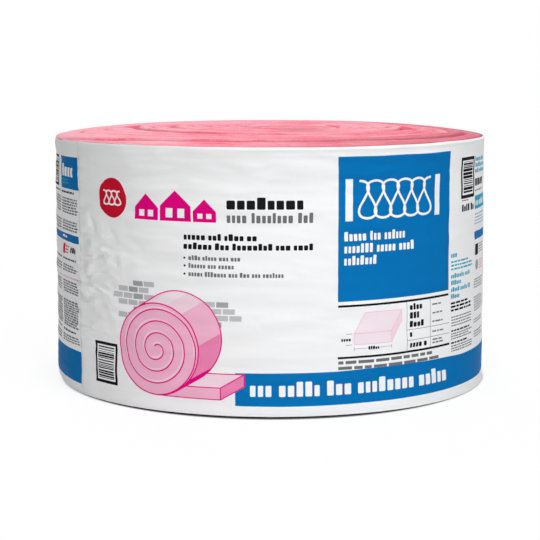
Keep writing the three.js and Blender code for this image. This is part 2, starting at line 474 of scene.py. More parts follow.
def upper_heights(winding, steps, radii, across, width, places):
    """Heights of the upper end, and how pink and how shaded each point is painted: painted shade in its
    grooves, its eye and on its right, painted light at the back left and on proud turns.
    """
    wool = winding.wool
    spots = places.reshape(-1, 3)
    from_axis = np.hypot(places[..., 0], places[..., 1]) / wool.radius
    rightwards, backwards = places[..., 0] / wool.radius, places[..., 1] / wool.radius
    inside = smooth_step(wool.radius - radii, 0, LUMPY_FROM_RIM)
    front = smooth_step(-backwards, -0.7, 0.55) * (1 - 0.45 * rightwards)
    lift = FRONT_RISE * front * (1 - np.minimum(from_axis, 1) ** 12)
    crown = dome(wool, radii) + lift + noises(spots, *LUMPS).reshape(radii.shape) * inside

    uneven = 1 + 0.4 * noise_at(spots, 0.11, 3).reshape(radii.shape)
    outer_depth, outer_slope, outer_pink, outer_shade = groove_form(winding, steps)
    inner_depth, inner_slope, inner_pink, inner_shade = groove_form(winding, steps + STEPS_PER_TURN)
    # the wool sinks towards the groove on each side, and falls away at the rim
    is_rim = steps <= 0
    usual = np.minimum(USUAL_SHARE * width, USUAL_REACH) + LEAST_REACH
    steep = np.where(is_rim, 0, smooth_step(outer_slope, 0, 3 * MM))
    outer_reach = np.where(is_rim, RIM_REACH, usual * (1 - steep) + STEEP_REACH * steep)
    inner_reach = np.minimum(usual + inner_slope, WIDEST_SHARE * width + LEAST_REACH)
    outer_depth = np.where(is_rim, crown - RIM_SHOULDER, outer_depth * uneven)
    from_outer, from_inner = across * width, (1 - across) * width
    near_outer = 1 - groove_side(from_outer, outer_reach)
    near_inner = 1 - groove_side(from_inner, inner_reach)
    sunk = outer_depth * near_outer + inner_depth * uneven * near_inner

    turn = steps / STEPS_PER_TURN
    proud = sum(stretch_share(turn, *stretch) * height for *stretch, height in PROUD_TURNS)
    proud = proud * groove_side(from_outer, PROUD_OUTER_REACH)
    proud = proud * groove_side(from_inner, PROUD_INNER_REACH)
    height = wool.width + crown + proud - sunk - rim_drop(angles(places)) * from_axis**3

    # painted light makes the wool palest at the back left; painted shade darkens the front right and the
    # outermost turn on the right
    pale = smooth_step(0.6 * backwards - 0.8 * rightwards, -0.2, 0.9)
    shaded_front_right = smooth_step(0.8 * rightwards - 0.6 * backwards, 0.2, 1.0)
    outermost = smooth_step(-turn, -0.62, -0.5) * smooth_step(rightwards, -0.4, 0.75)
    # painted shade: the grooves, and most of all their pockets, are painted pinker and darker; proud
    # turns are painted paler, as painted light
    pocket = smooth_step(inner_slope, 4 * MM, 12 * MM)
    pink = np.where(is_rim, 0.2, outer_pink) * near_outer ** (1.5 - 1.05 * steep)
    pink += inner_pink * near_inner ** (1.5 - 1.3 * pocket)
    pink += 0.2 * outermost - 0.25 * pale - 130 * proud
    # painted shade: a dark line along the upper rim on the right, where the wool meets the film's edge
    at_rim = 0.5 * smooth_step(rightwards, -0.4, 0.2) * smooth_step(near_outer, 0.35, 0.8)
    shade = np.where(is_rim, at_rim, outer_shade * near_outer**0.85)
    shade += inner_shade * near_inner**1.2 + 0.12 * shaded_front_right + 0.36 * outermost
    # painted shade round the eye, and a painted shaded patch in front of it
    shade += 0.4 * bell(radii / EYE_SHADE_REACH)
    to_right, to_front = places[..., 0] - SHADE_SPOT_RIGHT, -places[..., 1] - SHADE_SPOT_FRONT
    shade += 0.5 * bell(to_right / SHADE_SPOT_WIDE, to_front / SHADE_SPOT_LONG)
    return height, np.clip(pink, -0.4, 1.2), np.clip(shade, 0, 0.9)


def lower_heights(winding, steps, radii, across, width, places):
    """Heights of the lower end, pressed flat, and how pink and how shaded each point is painted, as
    painted shade in the grooves between its turns.
    """
    crown = np.minimum(BASE_GROOVE + 2 * MM, 0.4 * width)
    lumps = noises(places.reshape(-1, 3), (1.2 * MM, 0.05, 6)).reshape(radii.shape)
    profile = (1 - np.abs(2 * across - 1) ** 2.8) ** 0.62
    free = profile * smooth_step(width, 0, 6 * MM)
    rim = smooth_step(winding.wool.radius - radii, 0, 10 * MM)
    height = BASE_GROOVE * rim + BASE_SHOULDER * (1 - rim) - crown * free + lumps * free
    return np.maximum(0, height), 0.6 * (1 - profile), 0.3 * (1 - profile)


def angles(places):
    """The direction of each point from the roll's axis."""
    return np.arctan2(places[..., 1], places[..., 0])


def pull_rim_in(wool, places, radii, outwards):
    """Turns the outermost wool in at the upper rim, and tucks it in at the foot."""
    angle = angles(places)
    near_rim = smooth_step(radii, wool.radius - RIM_WIDTH, wool.radius)
    inwards = wool_curl(angle, 0.0) - flare(angle, 0.0) if outwards > 0 else FOOT_TUCK
    places[..., :2] *= (1 - near_rim * inwards / wool.radius)[..., None]


class Skin:
    """Points and faces of one closed body, with the blanket's coordinates at every corner."""

    def __init__(self):
        self.points, self.faces, self.winding_uv = [], [], []
        self.pink, self.shade = [], []

    def add(self, places, pink, shade):
        """Adds points, with how pink and how shaded they are painted (painted light and shade), and
        returns their numbers.
        """
        first, places = len(self.points), places.reshape(-1, 3)
        self.points += places.tolist()
        self.pink += np.broadcast_to(np.ravel(pink), len(places)).tolist()
        self.shade += np.broadcast_to(np.ravel(shade), len(places)).tolist()
        return np.arange(first, len(self.points))

    def bridge(self, row, next_row, outwards):
        """Fills between two rows of points."""
        order = (0, 1, 2, 3) if outwards > 0 else (0, 3, 2, 1)
        for i in range(len(row) - 1):
            corners = (row[i], row[i + 1], next_row[i + 1], next_row[i])
            self.faces.append([corners[k] for k in order])
            self.winding_uv += [(i / STEPS_PER_TURN * SIDE_GRAIN, 0.0)] * 4


def add_end(winding, skin, section, heights, outwards):
    """One end of the roll, turn by turn; returns the numbers of its points, row by row."""
    steps, radii, across, width = winding.sections(section)
    places = winding.places(steps, radii)
    places[..., 2], pink, shade = heights(winding, steps, radii, across, width, places)
    pull_rim_in(winding.wool, places, radii, outwards)
    grid = skin.add(places, pink, shade).reshape(radii.shape)
    corners = [grid[:-1, :-1], grid[:-1, 1:], grid[1:, 1:], grid[1:, :-1]]
    if outwards > 0:
        corners = [corners[k] for k in (0, 3, 2, 1)]
    faces = np.stack(corners, axis=-1).reshape(-1, 4)
    winding_uv = np.stack([run_along(radii), across * width], axis=-1).reshape(-1, 2)
    skin.faces += faces.tolist()
    skin.winding_uv += winding_uv[faces.ravel() - grid[0, 0]].tolist()
    return grid


def add_eye(winding, skin, mouth, outwards):
    """The pit at the heart of the winding, painted pinker and darker the deeper it goes, as painted
    shade.
    """
    steps = np.arange(winding.last - STEPS_PER_TURN, winding.last + 1)
    level = skin.points[mouth[0]][2]
    row = mouth
    for share, depth in EYE_RINGS:
        radii = np.full(len(steps), winding.wool.eye_radius * share)
        ripple = 1 + 0.12 * noise_at(winding.places(steps, radii), 0.012, 8)
        places = winding.places(steps, radii * ripple)
        places[:, 2] = level - outwards * depth * MM
        # painted shade: each ring deeper in the pit is painted pinker and darker
        deeper = 0.4 * depth * MM / EYE_DEPTH
        next_row = skin.add(places, 0.6 + deeper, 0.3 + deeper)
        skin.bridge(row, next_row, outwards)
        row = next_row
    middle = winding.places(steps[:1], np.zeros(1))
    middle[:, 2] = level - outwards * EYE_DEPTH
    (heart,) = skin.add(middle, 1.0, 0.7)
    for a, b in zip(row, row[1:]):
        skin.faces.append((a, heart, b) if outwards < 0 else (a, b, heart))
        skin.winding_uv += [(0.0, 0.0)] * 3


def add_wall(wool, skin, upper_rim, lower_rim):
    """The round side of the blanket, which the sleeve covers."""
    row = upper_rim
    upper, lower = (np.array([skin.points[k] for k in rim]) for rim in (upper_rim, lower_rim))
    angle = angles(upper)
    for level in WALL_LEVELS:
        places = upper + (lower - upper) * level
        below = upper[:, 2] - places[:, 2]
        slack = SIDE_SLACK * smooth_step(below, 0, WOOL_CURL_REACH)
        tuck = (FOOT_TUCK - SIDE_SLACK) * fading(places[:, 2], FOOT_TUCK_REACH, 2)
        radius = wool.radius + flare(angle, below) - wool_curl(angle, below) - slack - tuck
        places[:, 0] = radius * np.cos(angle)
        places[:, 1] = radius * np.sin(angle)
        next_row = skin.add(places, 0.1, 0.0)
        skin.bridge(next_row, row, 1)
        row = next_row
    skin.bridge(lower_rim, row, 1)


def build_wool(wool):
    winding, skin, rims = Winding(wool), Skin(), []
    for section, heights, outwards in (
        (UPPER_SECTION, upper_heights, 1),
        (LOWER_SECTION, lower_heights, -1),
    ):
        grid = add_end(winding, skin, section, heights, outwards)
        add_eye(winding, skin, grid[-STEPS_PER_TURN - 1 :, -1], outwards)
        rims.append(grid[: STEPS_PER_TURN + 1, 0])
    add_wall(wool, skin, *rims)

    piece = new_object("wound_wool", skin.points, skin.faces)
    mesh = piece.data
    layer = mesh.uv_layers.new(name="winding")
    layer.data.foreach_set("uv", np.array(skin.winding_uv, np.float32).ravel())
    # the painted light and shade, kept as two attributes
    for name, values in (("pink", skin.pink), ("shade", skin.shade)):
        attribute = mesh.attributes.new(name, "FLOAT", "POINT")
        attribute.data.foreach_set("value", np.array(values, np.float32))
    welded = bmesh.new()
    welded.from_mesh(mesh)
    bmesh.ops.remove_doubles(welded, verts=welded.verts, dist=WELD_DISTANCE)
    bmesh.ops.dissolve_degenerate(welded, edges=welded.edges, dist=SHORTEST_EDGE)
    welded.to_mesh(mesh)
    welded.free()
    mesh.shade_smooth()
    return piece


def wool_material(wool):
    finish = Material("glass_wool")
    winding = finish.add("ShaderNodeUVMap", uv_map="winding").outputs["UV"]
    place = finish.add("ShaderNodeTexCoord").outputs["Object"]
    pink = finish.add("ShaderNodeAttribute", attribute_name="pink").outputs["Fac"]
    shade = finish.add("ShaderNodeAttribute", attribute_name="shade").outputs["Fac"]
    along_strands = finish.stretch(winding, (38.0, 420.0, 1.0))
    strands = finish.noise(along_strands, Scale=1.0, Detail=5, Roughness=0.62, Distortion=0.6)
    layers = finish.noise(finish.stretch(winding, (7.0, 110.0, 1.0)), Scale=1.0, Detail=3)
    clouds = finish.noise(place, Scale=7.0, Detail=3)
    fluff = finish.noise(place, Scale=260.0, Detail=4, Roughness=0.65)
    lightness = finish.weighted((layers, 0.45), (clouds, 0.35), (strands, 0.35), (fluff, 0.25))
    relief = finish.weighted((layers, 1.2), (fluff, 0.5), (strands, 1.0))
    pale, deep = (*wool.pale, 1), (*wool.deep, 1)
    body = finish.mix(finish.remap(lightness, 0.645, 0.805), (*wool.fleece, 1), pale)
    worn = finish.mix(finish.remap(lightness, 0.695, 0.565, 0.0, 0.7), body, deep)
    # painted light and shade: where pink falls below zero the crowns and the back left are painted pale,
    # as pink rises the grooves are painted deep pink, and where shade rises the wool is painted the
    # shaded wool colour
    crown = finish.mix(finish.remap(pink, -0.02, -0.35, 0.0, 0.85), worn, pale)
    sunk = finish.mix(finish.remap(pink, 0.04, 0.95), crown, deep)
    finish.set(
        Base_Color=finish.mix(shade, sunk, (*wool.deepest, 1)),
        Roughness=0.95,
        Specular_IOR_Level=0.05,
        Subsurface_Weight=0.2,
        Subsurface_Radius=(1.0, 0.45, 0.5),
        Subsurface_Scale=0.006,
        Normal=finish.bump(relief, 0.0016, 0.8),
    )
    return finish.material


# ---- the print

# The layout is in millimetres: how far along the sleeve from its front, to the right, and how high.
BAND_LOW, BAND_HIGH = 17.0, 65.0


def shifted(points, offset):
    return [(s + offset[0], z + offset[1]) for s, z in points]


def arc(s, z, radius, angles):
    """Points on a circle, one for each angle."""
    return [(s + radius * math.cos(angle), z + radius * math.sin(angle)) for angle in angles]


def split(start, end, parts):
    """The start of a line, and the points that cut it into equal parts."""
    (s0, z0), (s1, z1) = start, end
    shares = [k / parts for k in range(parts)]
    return [(s0 + (s1 - s0) * t, z0 + (z1 - z0) * t) for t in shares]


class Sheet:
    """Collects inked shapes in the order in which they are printed."""

    def __init__(self, seed):
        self.inks, self.outlines = [], []
        self.random = random.Random(seed)

    def shape(self, ink, points):
        """A filled shape, kept with its corners in counterclockwise order."""
        corners = [(float(s), float(z)) for s, z in points]
        sides = zip(corners, corners[1:] + corners[:1])
        area = sum(s0 * z1 - s1 * z0 for (s0, z0), (s1, z1) in sides)
        self.inks.append(ink)
        self.outlines.append(corners if area > 0 else corners[::-1])

    def block(self, ink, left, low, right, high, corner=0.0):
        """An upright oblong, with rounded corners if a radius is given."""
        points = [(left, low), (right, low), (right, high), (left, high)]
        if corner:
            near, far = (left + corner, low + corner), (right - corner, high - corner)
            middles = ((far[0], near[1]), far, (near[0], far[1]), near)
            turns = (0, 30, 60, 90) if corner > 1 else (0, 90)
            points = [
                point
                for middle, start in zip(middles, (-90, 0, 90, 180))
                for point in arc(*middle, corner, [math.radians(start + turn) for turn in turns])
            ]
        self.shape(ink, points)

    def blocks(self, ink, *boxes):
        for box in boxes:
            self.block(ink, *box)

    def disc(self, ink, s, z, radius, count=40):
        self.shape(ink, arc(s, z, radius, [FULL_TURN * k / count for k in range(count)]))

    def stroke(self, ink, points, width):
        """A pen line of even width."""
        line = np.array(points, float)
        for start, end in zip(line, line[1:]):
            along = (end - start) / np.linalg.norm(end - start)
            side = np.array([-along[1], along[0]]) * width / 2
            start, end = start - 0.15 * width * along, end + 0.15 * width * along
            self.shape(ink, [start - side, end - side, end + side, start + side])

    def trace(self, ink, points, width):
        """A pen line all round a shape."""
        sides = zip(points, points[1:] + points[:1])
        fine = [point for side in sides for point in split(*side, 6)]
        self.stroke(ink, fine + points[:1], width)

    def frame(self, ink, left, low, right, high, width):
        """A frame with bare film inside."""
        self.block(ink, left, low, right, high)
        self.block("film", left + width, low + width, right - width, high - width)

    def words(self, ink, left, low, right, height, weight=1.0):
        """A line of words, drawn only as blocks of a letter's size."""
        s = left
        while s < right - 0.5 * height:
            for _ in range(self.random.randint(3, 8)):
                wide = height * self.random.uniform(0.45, 0.68) * weight
                if s + wide > right:
                    return
                tall = height * self.random.choice((0.74, 0.74, 0.74, 1.0))
                self.block(ink, s, low, s + wide, low + tall, corner=0.16 * wide)
                s += wide + 0.16 * height
            s += 0.35 * height

    def lines(self, ink, left, right, high, low, pitch, height, ragged=0.25):
        """A paragraph, drawn as a bar for each word."""
        z = high - height
        while z >= low:
            end = right - ragged * (right - left) * self.random.random() ** 2
            s = left
            while s < end - height:
                wide = min(height * self.random.uniform(1.6, 5.5), end - s)
                self.block(ink, s, z, s + wide, z + height)
                s += wide + 0.75 * height
            z -= pitch

    def bars(self, ink, left, low, right, high, weight=1.0):
        """A bar code's bars, stacked one over another; they stand for no number."""
        z = low
        while z < high - 0.8:
            wide = weight * self.random.choice((0.8, 1.2, 1.8, 2.6))
            self.block(ink, left, z, right, min(z + wide, high))
            z += wide + self.random.choice((0.9, 1.3, 2.1))


def hatch(left, right, low, high, loops, count=36):
    """The looping line that stands for a batt of wool in a drawing."""
    points = []
    middle, reach = (low + high) / 2, (high - low) / 2
    pitch = (right - left) / (loops + 0.6)
    for k in range(loops * count + 1):
        t = k / count
        s = left + 0.3 * pitch + pitch * t + 0.42 * pitch * math.sin(2 * FULL_TURN * t)
        points.append((s, middle + reach * math.cos(FULL_TURN * t)))
    return points


def slab(left, low, right, high, deep):
    """The near, top and end faces of a slab, drawn aslant."""
    near = [(left, low), (right, low), (right, high), (left, high)]
    far = shifted(near, deep)
    return near, [near[3], near[2], far[2], far[3]], [near[1], far[1], far[2], near[2]]


def lay_out(sheet, girth):
    """Everything printed on the film."""
    front_panel(sheet)
    headings(sheet)
    foot_band(sheet, girth)
    side_panel(sheet)
    narrow_column(sheet, 388, 450)
    lap_panel(sheet, girth)
    picture(sheet)


def front_panel(sheet):
    sheet.block("blue", 95.8, 163.0, 298, 367.0)
    # a batt between two studs, as a section drawing shows it
    sheet.blocks("film", (106, 276, 117, 335), (262, 276, 273, 335))
    sheet.stroke("film", hatch(120, 259, 279, 332, 5), 3.4)
    for low, right in ((248, 204), (231, 222), (214, 160)):
        sheet.words("film", 105, low, right, 13, weight=0.62)
    # the cut sizes: a sketch of the batt and a ruled table
    sheet.blocks("black", (96, 155, 298, 158.2), (96, 81.7, 300, 84.8))
    sheet.blocks("mid_grey", (207.2, 84.8, 208.2, 155), (254.4, 84.8, 255.4, 155))
    sheet.blocks("mid_grey", (208.2, 114.2, 299, 115.2), (208.2, 99.2, 299, 100.2))
    for low, right in ((143, 240), (130.5, 234), (118, 241), (104, 219), (88.5, 249)):
        sheet.words("black", 213, low, right, 9.2)
    for low in (144.5, 132, 119.5, 105, 93, 88.5):
        sheet.lines("grey", 259, 284, low + 3, low, 6, 2.2)
    batt_sketch(sheet)
    sheet.lines("grey", 97, 258, 78.5, 73, 9.5, 4.4, ragged=0.0)
    sheet.lines("grey", 97, 276, 70.5, 66, 9.5, 4.4, ragged=0.0)


def batt_sketch(sheet):
    near, top, end = slab(120, 101, 180, 117, (18, 29))
    for ink, points in (("blossom", top), ("shell", end), ("blossom", near)):
        sheet.shape(ink, points)
    for points in (near, top, end):
        sheet.trace("blush", points, 0.8)
    # its length below it, and its thickness on the left
    sheet.blocks("grey", (120, 92.5, 120.7, 98), (179.3, 92.5, 180, 98), (121.5, 95, 178.5, 95.5))
    sheet.words("black", 142, 92.8, 160, 5.0)
    sheet.blocks("grey", (108, 100.7, 117, 101.3), (108, 116.7, 117, 117.3))
    sheet.words("black", 101, 106.5, 117, 5.0)


def headings(sheet):
    sheet.disc("crimson", -247.5, 302, 29)
    sheet.stroke("film", hatch(-268, -227, 292, 312, 3, 24), 2.4)
    # a row of gabled houses
    for left, wide, eaves, ridge in ((-203, 40, 292, 312), (-160, 48, 296, 318), (-109, 34, 290, 307)):
        right = left + wide
        gable = [(left, 275), (right, 275), (right, eaves), (left + wide / 2, ridge), (left, eaves)]
        sheet.shape("magenta", gable)
        for start, end in ((0.2, 0.42), (0.58, 0.8)):
            sheet.block("film", left + start * wide, 280, left + end * wide, eaves - 3)
    sheet.words("black", -60, 294, 62, 17, weight=1.1)
    sheet.words("grey", -60, 275, 62, 14.5, weight=0.62)
    sheet.words("black", -123, 250, -18, 9.5)
    sheet.words("black", -123, 237, 66, 9.5)
    for z, right in ((224.5, -36), (213.5, -48), (202, 20)):
        sheet.disc("black", -122, z, 1.7, count=12)
        sheet.words("grey", -116, z - 3, right, 7.0, weight=0.85)


def picture(sheet):
    """A big roll of wool, half rolled out on the floor before a brick wall."""
    brickwork(sheet)
    middle, radius, thick, deep = (-168, 91), 66, 17, (34, 20)
    foot = middle[1] - radius
    near, top, end = slab(middle[0], foot, -70, foot + thick, deep)
    for ink, points in (("shell", top), ("rose", end), ("blush", near)):
        sheet.shape(ink, points)
        sheet.trace("magenta", points, 1.6)
    roll_side(sheet, middle, radius, deep)
    sheet.disc("magenta", *middle, radius + 1, count=72)
    sheet.disc("blush", *middle, radius - 1, count=72)
    turns, count = 3.6, 190
    spiral = []
    for k in range(count + 1):
        angle = -math.pi / 2 + FULL_TURN * turns * k / count
        spiral += arc(*middle, radius - thick * turns * k / count, [angle])
    sheet.stroke("shell", shifted(spiral[12:], (-1.6, 2.6)), 2.6)
    sheet.stroke("magenta", spiral, 2.0)


def roll_side(sheet, middle, radius, deep):
    """The round side of the drawn roll, paler towards its top."""
    across = math.atan2(deep[1], deep[0])
    tones = ("magenta", "rose", "rose", "blush", "blush", "shell", "blossom", "shell")
    edges = np.linspace(across - math.pi / 2, across + math.pi / 2, len(tones) + 1)
    for tone, start, stop in zip(tones, edges, edges[1:]):
        near = arc(*middle, radius, np.linspace(start, stop, 6))
        sheet.shape(tone, near + shifted(near[::-1], deep))
    rim = arc(*middle, radius, np.linspace(edges[0], edges[-1], 30))
    sheet.stroke("magenta", rim[:1] + shifted(rim, deep) + rim[-1:], 1.8)


def brickwork(sheet):
    """Two patches of a brick wall, as a drawing hints at one."""
    left_patch = ((0, 3), (1, 3), (0, 4), (-1, 4), (0, 3), (1, 2))
    right_patch = ((0, 2), (0, 3), (1, 2), (0, 2))
    for start, foot, darker, courses in ((-236, 132, 4, left_patch), (-104, 128, 3, right_patch)):
        for row, (left, count) in enumerate(courses):
            for k in range(count):
                s = start + 19 * (left + k) + 9.5 * (row % 2)
                ink = "mid_grey" if (row + k) % darker == 1 else "pale_grey"
                sheet.block(ink, s, foot + 9.4 * row, s + 17, foot + 7.5 + 9.4 * row)


def foot_band(sheet, girth):
    """The band round the foot, from beside the picture right round to the lap."""
    brow = ((-49, -1), (95, -0.8), (140, 1), (215, 1.2), (290, 0), (335, -2.4), (440, -3), (520, 0))
    end = girth - 332
    edge = [*shifted(brow, (0, BAND_HIGH)), (end, BAND_HIGH)]
    sheet.shape("blue", [(-49, BAND_LOW), (end, BAND_LOW)] + edge[::-1])
    sheet.words("film", -28, 31, 300, 21, weight=0.72)


def side_panel(sheet):
    """The bar code left of the picture, and what stands right of the blue panel."""
    sheet.frame("black", -291.3, 29, -241, 90, 4.5)
    sheet.bars("black", -284.5, 36, -248, 83)
    sheet.frame("black", 332, 293, 383.5, 355, 5.0)
    sheet.bars("black", 340, 301, 376, 348, weight=1.6)
    sheet.lines("grey", 335, 365, 291, 289, 4, 1.6)
    sheet.words("black", 335, 274, 383, 10.5)
    sheet.words("cyan", 305, 209, 322, 8.0)
    sheet.lines("cyan", 305, 379, 204, 188, 5.4, 2.6)
    for low, right in ((178.5, 368), (168.5, 336), (158.5, 371), (148.5, 331)):
        sheet.words("cyan", 305, low, right, 7.0)
    sheet.lines("black", 305, 372, 143, 128, 5.2, 3.0)
    sheet.lines("grey", 305, 378, 122, 106, 4.2, 1.8)
    for high in (102, 84):
        sheet.lines("black", 305, 372, high, high - 3, 5, 2.6)
        sheet.lines("grey", 305, 380, high - 5, high - 15, 3.6, 1.8)


def narrow_column(sheet, left, right):
    for low in (346, 337, 328):
        sheet.words("cyan", left, low, right, 7.6)
    sheet.words("black", left, 308, right, 15, weight=1.2)
    sheet.lines("grey", left, right, 302, 297, 4, 2.0)
    sheet.block("cyan", left, 273, right + 12, 293)
    sheet.words("film", left + 4, 278, right + 6, 10, weight=0.7)
    sheet.lines("cyan", left, right, 266, 250, 4.8, 1.5)
    sheet.block("blue", left, 227, right + 14, 239)
    sheet.block("black", left + 3, 203, left + 20, 220)
    sheet.lines("grey", left + 24, right, 219, 204, 4, 1.6)
    sheet.disc("mid_grey", left + 14, 188, 8)
    sheet.lines("rose", left + 28, right, 194, 178, 4, 1.4)
    for high, low in ((172, 152), (145, 118), (111, 100), (93, 76)):
        sheet.lines("black", left, right - 14, high, high - 2, 4, 2.2)
        sheet.lines("grey", left, right, high - 5, low, 3.9, 1.8)


# The paragraphs beside the lap, from the top: ink, high, low, pitch, height and raggedness
LAP_PARAGRAPHS = (
    ("black", 301, 294, 4.6, 2.8, 0.25),
    ("grey", 291, 266, 4.1, 2.4, 0.1),
    ("black", 262, 260, 4.1, 2.4, 0.25),
    ("grey", 257, 241, 4.1, 2.4, 0.1),
    ("black", 200, 194, 4.4, 2.6, 0.25),
    ("grey", 190, 176, 3.9, 2.3, 0.25),
    ("rose", 172, 170, 3.9, 1.6, 0.0),
    ("grey", 166, 146, 3.9, 2.4, 0.1),
    ("black", 142, 140, 3.9, 2.4, 0.25),
    ("grey", 137, 96, 3.7, 2.6, 0.1),
    ("black", 92, 88, 4.4, 2.6, 0.25),
    ("grey", 84, 72, 3.9, 2.3, 0.1),
)


def lap_panel(sheet, girth):
    """Two columns that end at the lap."""
    left, right = girth - 406, girth - 333
    sheet.block("blue", left, 305, right, 356)
    sheet.words("film", left + 6, 324, girth - 350, 20, weight=0.85)
    sheet.lines("cyan", left + 6, left + 40, 320, 309, 5, 2.4)
    sheet.block("blue", girth - 470, 226, right, 237.5)
    sheet.lines("film", left, left + 26, 234, 230, 4, 3.0)
    sheet.block("crimson", left + 2, 206, left + 15, 221)
    sheet.words("black", left + 40, 210, girth - 336, 11)
    sheet.lines("crimson", left + 18, left + 36, 219, 208, 4.5, 2.0)
    sheet.frame("black", girth - 476, 306, girth - 424, 356, 4.5)
    sheet.bars("black", girth - 469, 313, girth - 431, 349, weight=1.4)
    for start, stop in ((left, girth - 336), (girth - 478, girth - 414)):
        for ink, *measures in LAP_PARAGRAPHS:
            sheet.lines(ink, start, stop, *measures)


# ---- the sleeve of film

FILM_CURL_REACH = 2.9 * MM
# Extra rows of points close below the film's upper edge, in mm
LIP_ROWS = (0.7, 1.5, 2.4, 3.4, 5.0)
FOOT_CURL_REACH = 9 * MM
FOOT_BULGE, FOOT_BULGE_ANGLE = 4.5 * MM, math.radians(48)
LAP_RAMP, LAP_RISE = 12 * MM, 0.55 * MM
# Noises of the film all round: their height, their spacing and their seed
SWELL = (1.3 * MM, (0.11, 0.11, 0.09), 11)
BANDS = (1.9 * MM, (0.09, 0.09, 0.020), 12)
LONG_SMEARS = (1.25 * MM, (0.05, 0.05, 0.009), 14)
SHORT_SMEARS = (1.0 * MM, (0.03, 0.03, 0.034), 19)
# Folds and crumples where the lap pulls, past its edge and before it, and wrinkles beside it
PULL_PAST_LAP, PULL_BEFORE_LAP = 0.12, 0.03
FOLD_HIGH, FOLD_SPACING = 3.6 * MM, (0.045, 0.045, 0.026)
CRUMPLE_HIGH, CRUMPLE_SPACING = 2.1 * MM, (0.024, 0.024, 0.015)
WRINKLE_HIGH, WRINKLE_SPACING = 5.5 * MM, (0.036, 0.036, 0.018)
CREASE_HIGH = 1.6 * MM
# How far from its two edges the film lies calmer
CALM_EDGE = 0.006
# The patch of wrinkles: its place and reach, along and up
PATCH_ALONG, PATCH_HEIGHT, PATCH_WIDE, PATCH_TALL = -0.295, 0.185, 0.055, 0.085

# Creases by the lap and near the edges, in mm: from and to, along and up; how wide, how high.
CREASES = (
    (-330, 240, -302, 230, 5, -1.0),
    (-301, 272, -287, 250, 5, -1.0),
    (-284, 233, -254, 229, 5, -1.4),
    (-280, 247, -258, 242, 7, 1.1),
    (-251, 252, -241, 242, 4, -1.1),
    (-222, 240, -185, 236, 8, -0.9),
    (-245, 209, -234, 204, 5, -1.1),
    (-328, 211, -311, 200, 5, -1.0),
    (-329, 190, -300, 180, 6, -1.2),
    (-314, 197, -295, 194, 7, 1.0),
    (-334, 154, -321, 152, 6, -0.8),
    (-294, 134, -286, 117, 8, -0.8),
    (-167, 366, -148, 375, 5, 0.8),
    (-64, 347, -36, 345, 8, -0.6),
    (-293, 17, -275, 7, 6, -1.2),
    (-390, 13, -350, 6, 9, -1.3),
)
STREWN_CREASES = 90


def creases(girth, height):
    """The creases above, and shallower ones strewn all over the sleeve."""
    strewn = random.Random(23)
    rows = list(CREASES)
    for _ in range(STREWN_CREASES):
        s, z = strewn.uniform(-girth / 2, girth / 2), strewn.uniform(8, height - 8)
        angle = strewn.choice((-1, 1)) * strewn.uniform(0.05, 0.9)
        half = strewn.uniform(8, 34)
        ds, dz = half * math.cos(angle), half * math.sin(angle)
        wide = strewn.uniform(4, 9)
        rows.append((s - ds, z - dz, s + ds, z + dz, wide, strewn.uniform(-0.55, 0.4)))
    return rows


def round_off(distance, girth):
    """A distance along the sleeve, taken the shorter way round."""
    return (distance + girth / 2) % girth - girth / 2


def crease_heights(along, height, girth):
    """Height of the creases at each point of the film, everything in mm."""
    total = np.zeros(len(along))
    for s0, z0, s1, z1, wide, high in creases(girth, BLANKET_WIDTH / MM):
        s, z = round_off(along - (s0 + s1) / 2, girth), height - (z0 + z1) / 2
        ds, dz = (s1 - s0) / 2, (z1 - z0) / 2
        near = np.flatnonzero((np.abs(s) < abs(ds) + 3 * wide) & (np.abs(z) < abs(dz) + 3 * wide))
        on = np.clip((s[near] * ds + z[near] * dz) / math.hypot(ds, dz) ** 2, -1, 1)
        off = np.hypot(s[near] - on * ds, z[near] - on * dz)
        total[near] += high * bell(off / wide) * (1 - 0.7 * on**2)
    return total


def round_the_roll(radius, angle, height):
    """Places at an angle from the roll's front, to the right."""
    return np.stack([radius * np.sin(angle), -radius * np.cos(angle), height], axis=-1)


